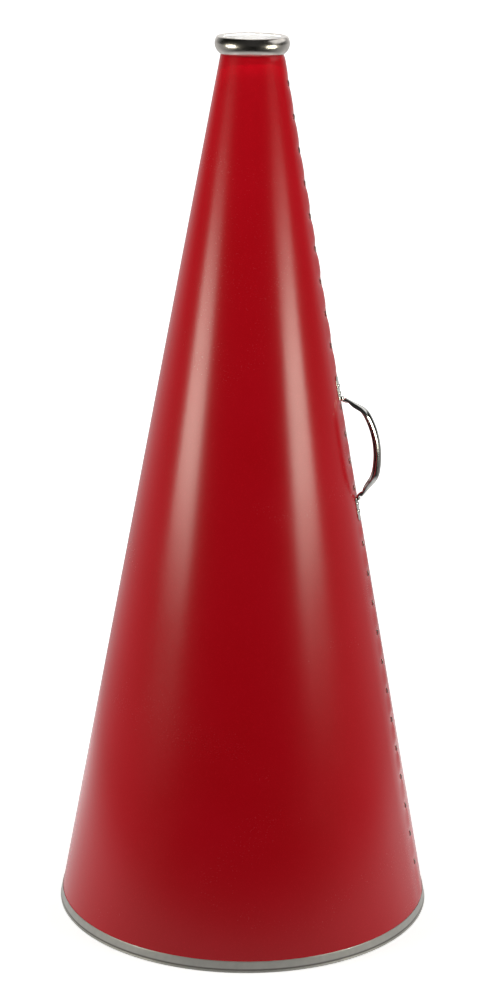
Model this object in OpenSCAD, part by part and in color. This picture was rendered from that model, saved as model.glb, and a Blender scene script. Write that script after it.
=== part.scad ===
// Handheld megaphone: a cone rolled from one sheet and stitched along a lap seam, a
// rolled mouthpiece ring, a channel rim round the bell, and a stamped carrying handle
// that swings in two clips riveted over the seam.
// It stands on its bell. The origin is the centre of the bell's resting face, the cone's
// axis is +Z, and the seam and the handle lie towards +X.

/* [Cone] */
// Diameter of the cone's outer surface, carried down to the resting face
cone_base_d = 329; // [323:1:329]
// Diameter of the cone's outer surface where the mouthpiece ring grips it
cone_neck_d = 52.6; // [52.5:0.05:52.8]
// Height at which the mouthpiece ring grips the cone
neck_z = 754; // [753.6:0.1:754.4]
// Thickness of the rolled sheet
sheet_t = 1.2; // [0.8:0.1:1.2]
// Width of the strip where the sheet's two edges lap
lap_w = 24; // [18:1:40]
// Distance from the row of stitches to the outer layer's free edge
lap_edge = 3.5; // [3:0.5:8]

/* [Seam stitches] */
// Diameter of the stitching wire
wire_d = 1.1; // [0.8:0.1:1.2]
// Length of a stitch between its two legs, centre to centre
stitch_l = 3.9; // [3:0.1:4.5]
// Stitches in the run below the handle
low_run_n = 12; // [4:1:12]
// Height of the lowest stitch
low_run_z = 45.4; // [30:0.2:46]
// Rise from stitch to stitch in the run below the handle
low_run_pitch = 26.6; // [20:0.1:26.6]
// Stitches in the run between the handle's clips
mid_run_n = 4; // [1:1:4]
// Height of the first stitch between the handle's clips
mid_run_z = 387.5; // [387:0.1:388]
// Rise from stitch to stitch between the handle's clips
mid_run_pitch = 23.6; // [18:0.1:23.7]
// Stitches in the run above the handle
top_run_n = 9; // [2:1:9]
// Height of the first stitch above the handle
top_run_z = 511.2; // [505:0.2:512]
// Rise from stitch to stitch in the run above the handle
top_run_pitch = 27.5; // [20:0.1:27.5]

/* [Bell rim] */
// Outer diameter across the rim's rolled lower edge
bell_d = 330; // [330:0.5:332]
// Height of the rim's outer wall
rim_h = 10; // [8:0.5:14]
// Height of the rim's inner wall
rim_inner_h = 7; // [5:0.5:7.5]
// Thickness of the rim's sheet metal
rim_t = 0.5; // [0.4:0.05:0.5]

/* [Mouthpiece ring] */
// Diameter across the ring's widest line
ring_d = 62.5; // [62.2:0.1:62.8]
// Diameter of the opening
mouth_d = 46.8; // [46:0.1:46.8]
// Height of the whole megaphone, at the top of the ring
total_h = 769.1; // [768.9:0.1:769.3]
// Height of the ring's widest line
ring_wide_z = 763; // [762.8:0.1:763.2]
// Radius of the ring's bulging side
ring_bulge_r = 10; // [9.8:0.1:10.2]
// Thickness of the ring's sheet metal
ring_t = 0.8; // [0.6:0.1:0.8]

/* [Handle] */
// Distance up the cone's slope from the resting face to the middle of the handle
handle_at = 429; // [428.5:0.1:429.5]
// Angle at which the handle stands, measured from square to the cone
handle_angle = 23; // [-80:1:80]
// Distance from the hinge line to the top of the grip
grip_reach = 26.7; // [26:0.1:28]
// Radius of the grip's bulge, along its outside
grip_r = 78; // [76:1:84]
// Half the angle that the grip's bulge spans
grip_span = 19; // [18:0.5:20]
// Radius of the corner between the grip and an arm, along its outside
corner_r = 20; // [18:0.5:20]
// Angle of the arms to the hinge line
arm_angle = 52.4; // [51:0.1:54]
// Width of the grip
grip_w = 12; // [9:0.5:12]
// Depth of the grip's channel section
grip_depth = 5.6; // [4:0.1:6]
// Width of an arm at its heel
heel_w = 3.2; // [2.6:0.1:3.2]
// Depth of an arm at its heel
heel_depth = 4.4; // [3.8:0.1:4.6]
// Thickness of the handle's sheet metal
strap_t = 1; // [0.8:0.1:1.2]
// Diameter of the round stems that turn in the clips
stem_d = 2.4; // [2:0.1:2.4]

/* [Clips and rivets] */
// Radial clearance of a stem in its knuckle
stem_clear = 0.05; // [0.03:0.01:0.1]
// Thickness of the clips' sheet metal
clip_t = 0.7; // [0.5:0.1:0.8]
// Width of a clip's leaf
leaf_w = 9; // [8:0.5:12]
// Distance from the handle's middle to the mouth of a knuckle
knuckle_at = 43.8; // [43.7:0.1:43.9]
// Length of a knuckle
knuckle_l = 3; // [2.6:0.1:3]
// Distance from the handle's middle to the rounded end of a leaf
leaf_end = 64; // [62:0.5:66]
// Distance from the handle's middle to the nearer rivet
rivet_at = 49.3; // [49.2:0.1:49.6]
// Spacing of the two rivets in a clip
rivet_pitch = 6.5; // [6.3:0.1:7]
// Diameter of a rivet's domed head
rivet_head_d = 4.6; // [4:0.1:5]
// Height of a rivet's domed head
rivet_head_h = 1.3; // [1:0.1:2]
// Diameter of a rivet's shank
rivet_d = 2.4; // [2:0.1:2.6]
// Diameter of the washer inside the cone
washer_d = 6; // [5:0.1:6]
// Thickness of the washer inside the cone
washer_t = 0.8; // [0.6:0.1:1]

/* [Hidden] */
round_fn = 180;
small_fn = 48;
wire_fn = 24;
// Gap left between fixed pieces that lie against each other
fit = 0.05;
// Gap between a rivet or a stitch leg and its hole
hole_fit = 0.05;
// Gap under a piece that rests on another: a knuckle, a rivet's head, a stitch
seat_gap = 0.02;
// Gap between a washer and the sheet, which curves away from it
washer_gap = 0.12;
// Gap between the lap's trimmed end and the rim or ring beside it
lap_gap = 0.3;
// How far a drill or a leaf's outline stands out on each side of the sheet
tool_reach = 4;

// The cone's lean, half its taper
slope = (cone_base_d - cone_neck_d) / 2 / neck_z;
lean = atan(slope);
// How far each layer of the lap stands off the sheet's own surface
lap_rise = sheet_t / 2;
// Share of the sheet's thickness that a lap layer shares with it
lap_bite = 0.4;
lap_low_z = rim_h + lap_gap;
// The outer layer ends just under the ring's lip
lap_high_z = neck_z + 0.2;
// The sheet ends inside the ring, this far above its lip
ring_grip = 4.2;
cone_top_z = neck_z + ring_grip;

// The rim: thickness of its floor, radius and height of the hem rolled out at its foot,
// and radius of its inner fold
web_t = 1;
hem_r = 1;
hem_top_z = 2.4;
hem_angle = 45;
fold_r = 0.3;
hem_steps = 9;
fold_steps = 4;

// The ring: radii of its two upper edges, slope of the dished top between them, gap
// from the lip down to the cone's end, and length of the skirt inside the cone
ring_edge_r = 1.9;
mouth_edge_r = 1.2;
dish_angle = 12;
lip_gap = 0.6;
skirt_l = 10;
skirt_low_z = neck_z - skirt_l;
bulge_steps = 16;
edge_steps = 6;

// The stitches: heights of the three runs, lowest first
stitch_zs = concat(
    [for (i = [0 : low_run_n - 1]) low_run_z + i * low_run_pitch],
    [for (i = [0 : mid_run_n - 1]) mid_run_z + i * mid_run_pitch],
    [for (i = [0 : top_run_n - 1]) top_run_z + i * top_run_pitch]
);
wire_r = wire_d / 2;
// Radius of the wire's centre line where it bends, so that the bend stays just open
wire_bend_r = 1.1 * wire_r;
stitch_tail_l = 0.6;
// Heights of the wire's centre line off the sheet, outside and inside the cone
stitch_out = lap_rise + wire_r + seat_gap;
stitch_in = -sheet_t - lap_rise - wire_r - seat_gap;

// The handle and its hinge line
stem_r = stem_d / 2;
bore_r = stem_r + stem_clear;
knuckle_r = bore_r + clip_t;
hinge_h = lap_rise + knuckle_r + seat_gap;
// A stem stays this far inside the ends of its knuckle
stem_inset = 0.1;
stem_start = knuckle_at + stem_inset;
stem_end = knuckle_at + knuckle_l - stem_inset;
// The handle's round root is a little slimmer than the stem that it runs into
root_r = stem_r - 0.1;
root_at = knuckle_at - 1.3;
root_end = knuckle_at + knuckle_l / 2;
// Height of an arm's heel over the hinge line, clear of the knuckle
heel_h = 3.4;
// Distances along the outside from the heel by which the section is hollow, and full size
hollow_run = 10;
full_run = 26;
root_steps = 6;
arm_steps = 12;
corner_steps = 10;
grip_steps = 10;
outer_steps = 12;
inner_steps = 10;

// The clips: width of the web under a knuckle as a share of the knuckle's own
web_share = 0.9;
leaf_top = lap_rise + clip_t;

// The rivets: their flattened tails inside the cone
washer_top = -sheet_t - lap_rise - washer_gap;
tail_d = 3.8;
tail_t = 0.6;
dome_steps = 10;

function two_digits(n) = n < 10 ? str("0", n) : str(n);
function stitch_name(i) = str("seam_stitch_", two_digits(i + 1));
function end_name(dir) = dir > 0 ? "upper" : "lower";
function rivet_name(dir, k) = str(end_name(dir), "_rivet_", k + 1);
function washer_name(dir, k) = str(end_name(dir), "_washer_", k + 1);
function clip_name(dir) = str(end_name(dir), "_clip");
ends = [1, -1];
pair = [0, 1];

// Radius of the cone at a height, on a surface that stands `lift` outside the sheet
function cone_r(z, lift = 0) = cone_base_d / 2 - slope * z + lift / cos(lean);
// Height at which that surface has a given radius
function cone_z(r, lift = 0) = (cone_base_d / 2 + lift / cos(lean) - r) / slope;
// Points along an arc
function arc(centre, r, from, to, steps) =
    [for (i = [0 : steps]) centre + r * [cos(from + (to - from) * i / steps),
                                         sin(from + (to - from) * i / steps)]];
// Goes smoothly from 0 to 1 as x does
function ease(x) = let (t = min(max(x, 0), 1)) t * t * (3 - 2 * t);

// A band of cone between two heights and between two distances off its outer surface
module cone_band(low_z, high_z, lift_in, lift_out) {
    rotate_extrude($fn = round_fn)
        polygon([
            [cone_r(low_z, lift_in), low_z],
            [cone_r(low_z, lift_out), low_z],
            [cone_r(high_z, lift_out), high_z],
            [cone_r(high_z, lift_in), high_z]
        ]);
}

// Puts children on the seam, with X square to the cone and Z up its slope
module on_seam(along) {
    translate([cone_r(0) - along * sin(lean), 0, along * cos(lean)])
        rotate([0, -lean, 0])
            children();
}

// Puts children at the handle's middle, with Z towards one end of the handle
module at_handle(dir) {
    on_seam(handle_at)
        mirror([0, 0, dir > 0 ? 0 : 1])
            children();
}

// Puts children at a rivet's place on the seam
module at_rivet(dir, k) {
    at_handle(dir)
        translate([0, 0, rivet_at + k * rivet_pitch])
            children();
}

// A cylinder that lies along X from one height off the cone to another
module pin(r, from, to) {
    translate([from, 0, 0])
        rotate([0, 90, 0])
            cylinder(r = r, h = to - from, $fn = small_fn);
}

// ---- Cone ----

// One layer of the lap, cut to the lap's width
module lap_layer(high_z, lift_in, lift_out) {
    intersection() {
        cone_band(lap_low_z, high_z, lift_in, lift_out);
        translate([0, lap_edge - lap_w, 0])
            cube([cone_base_d, lap_w, total_h]);
    }
}

module horn_cone() {
    color("crimson")
    difference() {
        union() {
            cone_band(web_t, cone_top_z, -sheet_t, 0);
            lap_layer(lap_high_z, -lap_bite * sheet_t, lap_rise);
            lap_layer(skirt_low_z - lap_gap, -sheet_t - lap_rise, (lap_bite - 1) * sheet_t);
        }
        for (z = stitch_zs)
            on_seam(z / cos(lean))
                for (side = ends)
                    translate([0, 0, side * stitch_l / 2])
                        pin(wire_r + hole_fit, -tool_reach, tool_reach);
        for (dir = ends)
            for (k = pair)
                at_rivet(dir, k)
                    pin(rivet_d / 2 + hole_fit, -tool_reach, tool_reach);
    }
}

// ---- Stitches ----

// A quarter turn of wire in the XZ plane, about the origin, from +Z round to +X
module wire_bend() {
    rotate([-90, -90, 0])
        rotate_extrude(angle = 90, $fn = small_fn)
            translate([wire_bend_r, 0])
                circle(r = wire_r, $fn = wire_fn);
}

// Half of a stitch: half its crown, one leg and one turned-in tail
module half_stitch() {
    leg_z = stitch_l / 2;
    turn_z = leg_z - wire_bend_r;
    translate([stitch_out, 0, 0])
        cylinder(r = wire_r, h = turn_z, $fn = wire_fn);
    translate([stitch_out - wire_bend_r, 0, turn_z])
        wire_bend();
    translate([stitch_in + wire_bend_r, 0, leg_z])
        rotate([0, 90, 0])
            cylinder(r = wire_r, h = stitch_out - stitch_in - 2 * wire_bend_r, $fn = wire_fn);
    translate([stitch_in + wire_bend_r, 0, turn_z])
        mirror([1, 0, 0])
            wire_bend();
    translate([stitch_in, 0, turn_z - stitch_tail_l])
        cylinder(r = wire_r, h = stitch_tail_l, $fn = wire_fn);
}

module seam_stitch(i) {
    color("silver")
    on_seam(stitch_zs[i] / cos(lean))
        for (side = [0, 1])
            mirror([0, 0, side])
                half_stitch();
}

// ---- Bell rim ----

module bell_rim() {
    outer_in = fit;
    outer_out = fit + rim_t;
    inner_out = -sheet_t - fit;
    inner_in = -sheet_t - fit - rim_t;
    hem_centre = [bell_d / 2 - hem_r, hem_r];
    fold_centre = [cone_r(fold_r, inner_in) + fold_r, fold_r];
    color("gainsboro")
    rotate_extrude($fn = round_fn)
        polygon(concat(
            [
                [cone_r(web_t, outer_in), web_t],
                [cone_r(rim_h, outer_in), rim_h],
                [cone_r(rim_h, outer_out), rim_h],
                [cone_r(hem_top_z, outer_out), hem_top_z]
            ],
            arc(hem_centre, hem_r, hem_angle, -90, hem_steps),
            arc(fold_centre, fold_r, -90, -180, fold_steps),
            [
                [cone_r(rim_inner_h, inner_in), rim_inner_h],
                [cone_r(rim_inner_h, inner_out), rim_inner_h],
                [cone_r(web_t, inner_out), web_t]
            ]
        ));
}

// ---- Mouthpiece ring ----

module mouthpiece_ring() {
    bulge_centre = [ring_d / 2 - ring_bulge_r, ring_wide_z];
    edge_z = total_h - ring_edge_r;
    edge_up = edge_z - ring_wide_z;
    edge_out = sqrt(pow(ring_bulge_r - ring_edge_r, 2) - pow(edge_up, 2));
    edge_centre = [bulge_centre[0] + edge_out, edge_z];
    edge_angle = atan2(edge_up, edge_out);
    lip_angle = -asin((ring_wide_z - neck_z - lip_gap) / ring_bulge_r);
    mouth_r = mouth_d / 2;
    dish_top = 90 + dish_angle;
    dish_run = edge_centre[0] - mouth_r - mouth_edge_r;
    dish_drop = dish_run * tan(dish_angle) - (ring_edge_r - mouth_edge_r) / cos(dish_angle);
    mouth_centre = [mouth_r + mouth_edge_r, edge_z - dish_drop];
    skirt_out = -sheet_t - fit;
    skirt_in = skirt_out - ring_t;
    color("silver")
    rotate_extrude($fn = round_fn)
        polygon(concat(
            arc(bulge_centre, ring_bulge_r, lip_angle, edge_angle, bulge_steps),
            arc(edge_centre, ring_edge_r, edge_angle, dish_top, edge_steps),
            arc(mouth_centre, mouth_edge_r, dish_top, 180, edge_steps),
            [
                [mouth_r, cone_z(mouth_r, skirt_in)],
                [cone_r(skirt_low_z, skirt_in), skirt_low_z],
                [cone_r(skirt_low_z, skirt_out), skirt_low_z],
                [mouth_r + ring_t, cone_z(mouth_r + ring_t, skirt_out)]
            ],
            arc(mouth_centre, mouth_edge_r - ring_t, 180, dish_top, edge_steps),
            arc(edge_centre, ring_edge_r - ring_t, dish_top, edge_angle, edge_steps),
            arc(bulge_centre, ring_bulge_r - ring_t, edge_angle, lip_angle, bulge_steps)
        ));
}

// ---- Handle ----

// The handle's outside, in the plane of the handle, with the hinge line as the first
// axis: a bulged grip, a corner and a straight arm down to the heel, at each end
corner_start = [grip_r * sin(grip_span), grip_reach - grip_r * (1 - cos(grip_span))];
arm_start = corner_start + corner_r * [sin(arm_angle) - sin(grip_span),
                                       cos(arm_angle) - cos(grip_span)];
arm_l = (arm_start[1] - heel_h) / sin(arm_angle);
heel = arm_start + arm_l * [cos(arm_angle), -sin(arm_angle)];
root = [root_at, root_r];
corner_l = corner_r * (arm_angle - grip_span) * PI / 180;

// A station of the sweep is [point on the outside, turn of its section from the middle's,
// section]. A section is [half width, depth to its edges, inner half width, rise of its
// hollow]. An oval one has no hollow: its rise is its lower half.
function oval(half_w, depth) = [half_w, depth / 2, half_w, -depth / 2];
function channel(run) =
    let (
        grown = ease(run / full_run),
        hollow = ease(run / hollow_run),
        half_w = heel_w / 2 + (grip_w - heel_w) / 2 * grown,
        depth = heel_depth + (grip_depth - heel_depth) * grown
    )
    [half_w, depth * (1 + hollow) / 2, half_w - strap_t * hollow,
     -depth / 2 + (1.5 * depth - strap_t) * hollow];
function root_station(t) = [
    heel + t * (root - heel),
    arm_angle * (1 - t),
    oval(heel_w / 2 + t * (root_r - heel_w / 2), heel_depth + t * (2 * root_r - heel_depth))
];
function arm_station(run) =
    [heel + run * [-cos(arm_angle), sin(arm_angle)], arm_angle, channel(run)];
function corner_station(turn) = [
    corner_start + corner_r * [sin(turn) - sin(grip_span), cos(turn) - cos(grip_span)],
    turn,
    channel(arm_l + corner_r * (arm_angle - turn) * PI / 180)
];
function grip_station(turn) = [
    [grip_r * sin(turn), grip_reach - grip_r * (1 - cos(turn))],
    turn,
    channel(arm_l + corner_l + grip_r * (grip_span - turn) * PI / 180)
];
function mirrored(station) = [[-station[0][0], station[0][1]], -station[1], station[2]];
half_stations = concat(
    [[[root_end, root_r], 0, oval(root_r, 2 * root_r)]],
    [for (i = [root_steps : -1 : 1]) root_station(i / root_steps)],
    [for (i = [0 : arm_steps - 1]) arm_station(arm_l * i / arm_steps)],
    [for (i = [0 : corner_steps - 1])
        corner_station(arm_angle + (grip_span - arm_angle) * i / corner_steps)],
    [for (i = [0 : grip_steps - 1]) grip_station(grip_span * (1 - i / grip_steps))]
);
half_n = len(half_stations);
stations = concat(
    half_stations,
    [grip_station(0)],
    [for (i = [half_n - 1 : -1 : 0]) mirrored(half_stations[i])]
);
// The outline of one section: its convex outside, then its hollow inside
function section_outline(section) = concat(
    [for (i = [0 : outer_steps]) let (a = -90 + 180 * i / outer_steps)
        [section[0] * sin(a), -section[1] * (1 - cos(a))]],
    [for (i = [1 : inner_steps - 1]) let (a = 90 - 180 * i / inner_steps)
        [section[2] * sin(a), -section[1] + section[3] * cos(a)]]
);
function station_ring(station) =
    let (outward = [sin(station[1]), cos(station[1])])
    [for (p = section_outline(station[2]))
        let (q = station[0] + p[1] * outward) [q[1], p[0], q[0]]];

module handle_strap() {
    rings = [for (s = stations) station_ring(s)];
    ring_n = len(rings[0]);
    last = len(rings) - 1;
    polyhedron(
        points = [for (r = rings) each r],
        faces = concat(
            [[for (j = [ring_n - 1 : -1 : 0]) j]],
            [for (i = [0 : last - 1]) for (j = [0 : ring_n - 1])
                let (k = (j + 1) % ring_n)
                [i * ring_n + j, i * ring_n + k, (i + 1) * ring_n + k, (i + 1) * ring_n + j]],
            [[for (j = [0 : ring_n - 1]) last * ring_n + j]]
        )
    );
}

module handle() {
    color("silver")
    on_seam(handle_at)
        translate([hinge_h, 0, 0])
            rotate([0, 0, handle_angle]) {
                handle_strap();
                for (side = [0, 1])
                    mirror([0, 0, side])
                        translate([0, 0, stem_start])
                            cylinder(r = stem_r, h = stem_end - stem_start, $fn = small_fn);
            }
}

// ---- Clips ----

// The outline of a clip's leaf, as a block that stands through the cone
module leaf_block() {
    tip_at = leaf_end - leaf_w / 2;
    translate([-tool_reach, -leaf_w / 2, knuckle_at])
        cube([2 * tool_reach, leaf_w, tip_at - knuckle_at]);
    translate([0, 0, tip_at])
        pin(leaf_w / 2, -tool_reach, tool_reach);
}

// The rolled knuckle and the web that joins it to the leaf
module knuckle() {
    web_half = web_share * knuckle_r;
    web_low = lap_rise + clip_t / 2;
    translate([hinge_h, 0, knuckle_at])
        cylinder(r = knuckle_r, h = knuckle_l, $fn = small_fn);
    translate([web_low, -web_half, knuckle_at])
        cube([hinge_h - web_low, 2 * web_half, knuckle_l]);
}

module clip(dir) {
    middle_z = handle_at * cos(lean);
    color("silver")
    difference() {
        union() {
            intersection() {
                cone_band(middle_z - leaf_end - leaf_w, middle_z + leaf_end + leaf_w,
                          lap_rise, leaf_top);
                at_handle(dir) leaf_block();
            }
            at_handle(dir) knuckle();
        }
        at_handle(dir)
            translate([hinge_h, 0, knuckle_at - knuckle_r])
                cylinder(r = bore_r, h = knuckle_l + 2 * knuckle_r, $fn = small_fn);
        for (k = pair)
            at_rivet(dir, k)
                pin(rivet_d / 2 + hole_fit, -tool_reach, tool_reach);
    }
}

// ---- Rivets and washers ----

// A rivet's outline from its domed head, down its shank, to its flattened tail
module rivet(dir, k) {
    dome_r = (pow(rivet_head_d / 2, 2) + pow(rivet_head_h, 2)) / (2 * rivet_head_h);
    head_base = leaf_top + seat_gap;
    dome_centre = [0, head_base + rivet_head_h - dome_r];
    rim_angle = asin((dome_r - rivet_head_h) / dome_r);
    tail_top = washer_top - washer_t;
    color("silver")
    at_rivet(dir, k)
        rotate([0, 90, 0])
            rotate_extrude($fn = small_fn)
                polygon(concat(
                    arc(dome_centre, dome_r, 90, rim_angle, dome_steps),
                    [
                        [rivet_d / 2, head_base],
                        [rivet_d / 2, tail_top],
                        [tail_d / 2, tail_top],
                        [tail_d / 2, tail_top - tail_t],
                        [0, tail_top - tail_t]
                    ]
                ));
}

module washer(dir, k) {
    color("silver")
    at_rivet(dir, k)
        difference() {
            pin(washer_d / 2, washer_top - washer_t, washer_top);
            pin(rivet_d / 2 + hole_fit, washer_top - 2 * washer_t, washer_top + washer_t);
        }
}

horn_cone();
mouthpiece_ring();
bell_rim();
handle();
for (dir = ends)
    clip(dir);
for (dir = ends)
    for (k = pair)
        rivet(dir, k);
for (dir = ends)
    for (k = pair)
        washer(dir, k);
for (i = [0 : len(stitch_zs) - 1])
    seam_stitch(i);
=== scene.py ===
import random
from math import asin, atan, atan2, cos, exp, hypot, pi, radians, sin, sqrt, tan

import bmesh
import bpy
from mathutils import Matrix, Vector


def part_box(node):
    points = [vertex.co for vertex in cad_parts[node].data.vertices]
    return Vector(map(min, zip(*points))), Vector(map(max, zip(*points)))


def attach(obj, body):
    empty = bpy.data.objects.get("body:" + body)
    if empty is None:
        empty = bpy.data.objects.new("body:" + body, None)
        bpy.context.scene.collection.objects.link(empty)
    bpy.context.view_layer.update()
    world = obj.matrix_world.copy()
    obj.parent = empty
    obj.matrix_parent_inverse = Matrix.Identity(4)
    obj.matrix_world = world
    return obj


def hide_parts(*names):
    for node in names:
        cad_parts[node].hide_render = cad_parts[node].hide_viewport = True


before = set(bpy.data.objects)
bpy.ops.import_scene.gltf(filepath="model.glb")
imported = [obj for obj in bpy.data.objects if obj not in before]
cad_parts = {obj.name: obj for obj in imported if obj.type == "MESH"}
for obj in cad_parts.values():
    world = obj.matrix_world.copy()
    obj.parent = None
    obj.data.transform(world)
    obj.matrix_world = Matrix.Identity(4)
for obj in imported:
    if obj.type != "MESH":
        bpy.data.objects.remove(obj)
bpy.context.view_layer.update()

# A handheld megaphone standing on its bell. Sizes are in millimetres, as in the CAD, and
# become metres as each mesh is made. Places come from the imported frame.
MM = 0.001


def frame_box(node):
    """Lowest and highest corner of a CAD node, in millimetres."""
    lo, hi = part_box(node)
    return lo / MM, hi / MM


# ---- The cone, the rim and the ring, from the CAD ----

CONE_BASE_R = 164.5      # outer surface, carried down to the floor
CONE_NECK_R = 26.3       # outer surface at the neck line
NECK_Z = 754.0
SHEET_T = 1.2
SLOPE = (CONE_BASE_R - CONE_NECK_R) / NECK_Z
LEAN = atan(SLOPE)
FIT = 0.05

RIM_BOX = frame_box("bell_rim")
RING_BOX = frame_box("mouthpiece_ring")
CONE_LOW_Z = frame_box("horn_cone")[0].z
CONE_HIGH_Z = frame_box("horn_cone")[1].z
RIM_H = RIM_BOX[1].z
BELL_R = RIM_BOX[1].x
RING_R = RING_BOX[1].x
TOTAL_H = RING_BOX[1].z

# The lap: the outer layer ends LAP_EDGE past the stitches, the inner one LAP_BACK before
LAP_RISE = SHEET_T / 2
LAP_EDGE = 3.5
LAP_BACK = 20.5
LAP_LEAD = 42            # the outer layer starts to leave the cone's surface this far before
LAP_LEAD_RUN = 30        # and is LAP_RISE off it this much further on
LAP_TAIL_RUN = 26        # the inner layer is back on the surface this far past the edge
SEAM_HALF = 24           # half the strip where the columns of points lie close

# The handle's clips, measured along the slope from the handle's middle
KNUCKLE_AT = 43.8
KNUCKLE_R = 1.95
LEAF_END = 64.0
CLEARANCE = 0.02         # between parts that rest on one another


def cone_r(z, lift=0.0):
    """Radius of the cone's outer surface at a height, on a surface that stands off it."""
    return CONE_BASE_R - SLOPE * z + lift / cos(LEAN)


def cone_z(r, lift=0.0):
    """Height at which that surface has a given radius."""
    return (CONE_BASE_R + lift / cos(LEAN) - r) / SLOPE


def along_slope(node):
    """How far up the cone's slope from the floor the middle of a CAD node lies."""
    lo, hi = frame_box(node)
    middle = (lo + hi) / 2
    return middle.z * cos(LEAN) - (middle.x - CONE_BASE_R) * sin(LEAN)


def on_slope(along, out=0.0, side=0.0):
    """A point up the slope from the floor, out from the surface, and round from the seam."""
    r = CONE_BASE_R - along * sin(LEAN)
    angle = side / r
    r += out * cos(LEAN)
    return Vector((r * cos(angle), r * sin(angle), along * cos(LEAN) + out * sin(LEAN)))


def ease(x):
    """Goes smoothly from 0 to 1 as x does."""
    t = min(max(x, 0.0), 1.0)
    return t * t * (3 - 2 * t)


def spread(low, high, steps):
    """Evenly spaced values from low to high, both included."""
    return [low + (high - low) * i / steps for i in range(steps + 1)]


def arc(centre, r, start, end, steps):
    """Points along an arc, from one angle to another in degrees."""
    return [
        (centre[0] + r * cos(radians(a)), centre[1] + r * sin(radians(a)))
        for a in spread(start, end, steps)
    ]


# ---- Meshes ----


def add_mesh(name, points, faces, materials, face_materials=None, sharp=35.0):
    """A smooth-shaded object from points in millimetres, with edges sharper than an angle
    left crisp."""
    mesh = bpy.data.meshes.new(name)
    mesh.from_pydata([Vector(p) * MM for p in points], [], faces)
    for m in materials:
        mesh.materials.append(m)
    if face_materials:
        mesh.polygons.foreach_set("material_index", face_materials)
    outward = bmesh.new()
    outward.from_mesh(mesh)
    bmesh.ops.recalc_face_normals(outward, faces=outward.faces)
    outward.to_mesh(mesh)
    outward.free()
    mesh.polygons.foreach_set("use_smooth", [True] * len(mesh.polygons))
    mesh.set_sharp_from_angle(angle=radians(sharp))
    mesh.update()
    piece = bpy.data.objects.new(name, mesh)
    bpy.context.scene.collection.objects.link(piece)
    return piece


def place(piece, body, slot, *nodes):
    """Rides a piece on its body, in place of its CAD nodes. Its slot argument is not used."""
    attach(piece, body)
    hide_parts(*nodes)
    return piece


def grid_faces(rings, columns, closed_rings=False):
    """Quads between neighbouring rings of points, each ring a closed loop."""
    last = rings if closed_rings else rings - 1
    return [
        (
            i * columns + j,
            i * columns + (j + 1) % columns,
            ((i + 1) % rings) * columns + (j + 1) % columns,
            ((i + 1) % rings) * columns + j,
        )
        for i in range(last)
        for j in range(columns)
    ]


def lathe(outline, steps):
    """Points and faces of a closed outline of (radius, height), turned about the Z axis."""
    points = [
        (r * cos(2 * pi * j / steps), r * sin(2 * pi * j / steps), z)
        for r, z in outline
        for j in range(steps)
    ]
    return points, grid_faces(len(outline), steps, closed_rings=True)


def sweep(rings):
    """Points and faces of a row of closed loops of points, capped at both ends."""
    n = len(rings[0])
    points = [p for ring in rings for p in ring]
    faces = grid_faces(len(rings), n)
    faces.append(tuple(reversed(range(n))))
    faces.append(tuple(range((len(rings) - 1) * n, len(rings) * n)))
    return points, faces


def tube(path, radius, sides=14):
    """A round bar along a path that lies in one plane with the Y axis square to it."""
    rings = []
    across = Vector((0, 1, 0))
    last = len(path) - 1
    for i, p in enumerate(path):
        ahead = (path[min(i + 1, last)] - path[max(i - 1, 0)]).normalized()
        up = across.cross(ahead)
        # the ends are rounded over by a smaller last ring
        r = radius * (0.6 if i in (0, last) else 1.0)
        rings.append([
            p + across * (r * cos(2 * pi * k / sides)) + up * (r * sin(2 * pi * k / sides))
            for k in range(sides)
        ])
    return sweep(rings)


# ---- Materials ----


def shader(name, base, metallic, roughness):
    """A material with a Principled shader, its node tree and that shader."""
    material = bpy.data.materials.new(name)
    material.use_nodes = True
    tree = material.node_tree
    bsdf = tree.nodes["Principled BSDF"]
    bsdf.inputs["Base Color"].default_value = (*base, 1)
    bsdf.inputs["Metallic"].default_value = metallic
    bsdf.inputs["Roughness"].default_value = roughness
    return material, tree, bsdf


def noise_of(tree, per_metre, detail=2.0, stretch=(1, 1, 1), distortion=0.0):
    """A noise value in the piece's own place, with so many blotches to the metre."""
    coords = tree.nodes.new("ShaderNodeTexCoord")
    mapping = tree.nodes.new("ShaderNodeMapping")
    mapping.inputs["Scale"].default_value = stretch
    texture = tree.nodes.new("ShaderNodeTexNoise")
    texture.inputs["Scale"].default_value = per_metre
    texture.inputs["Detail"].default_value = detail
    texture.inputs["Distortion"].default_value = distortion
    tree.links.new(coords.outputs["Object"], mapping.inputs["Vector"])
    tree.links.new(mapping.outputs["Vector"], texture.inputs["Vector"])
    return texture.outputs["Fac"]


def ranged(tree, value, low, high, from_low=0.3, from_high=0.7):
    """A value carried from one range to another and held inside it."""
    node = tree.nodes.new("ShaderNodeMapRange")
    node.inputs["From Min"].default_value = from_low
    node.inputs["From Max"].default_value = from_high
    node.inputs["To Min"].default_value = low
    node.inputs["To Max"].default_value = high
    tree.links.new(value, node.inputs["Value"])
    return node.outputs["Result"]


def blend_colours(tree, factor, first, second):
    """A colour between two colours, or between a colour and another node's output."""
    node = tree.nodes.new("ShaderNodeMix")
    node.data_type = "RGBA"
    tree.links.new(factor, node.inputs["Factor"])
    for socket, colour in ((node.inputs["A"], first), (node.inputs["B"], second)):
        if isinstance(colour, tuple):
            socket.default_value = (*colour, 1)
        else:
            tree.links.new(colour, socket)
    return node.outputs["Result"]


def added(tree, first, second):
    """The sum of two values."""
    node = tree.nodes.new("ShaderNodeMath")
    node.operation = "ADD"
    tree.links.new(first, node.inputs[0])
    tree.links.new(second, node.inputs[1])
    return node.outputs["Value"]


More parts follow.
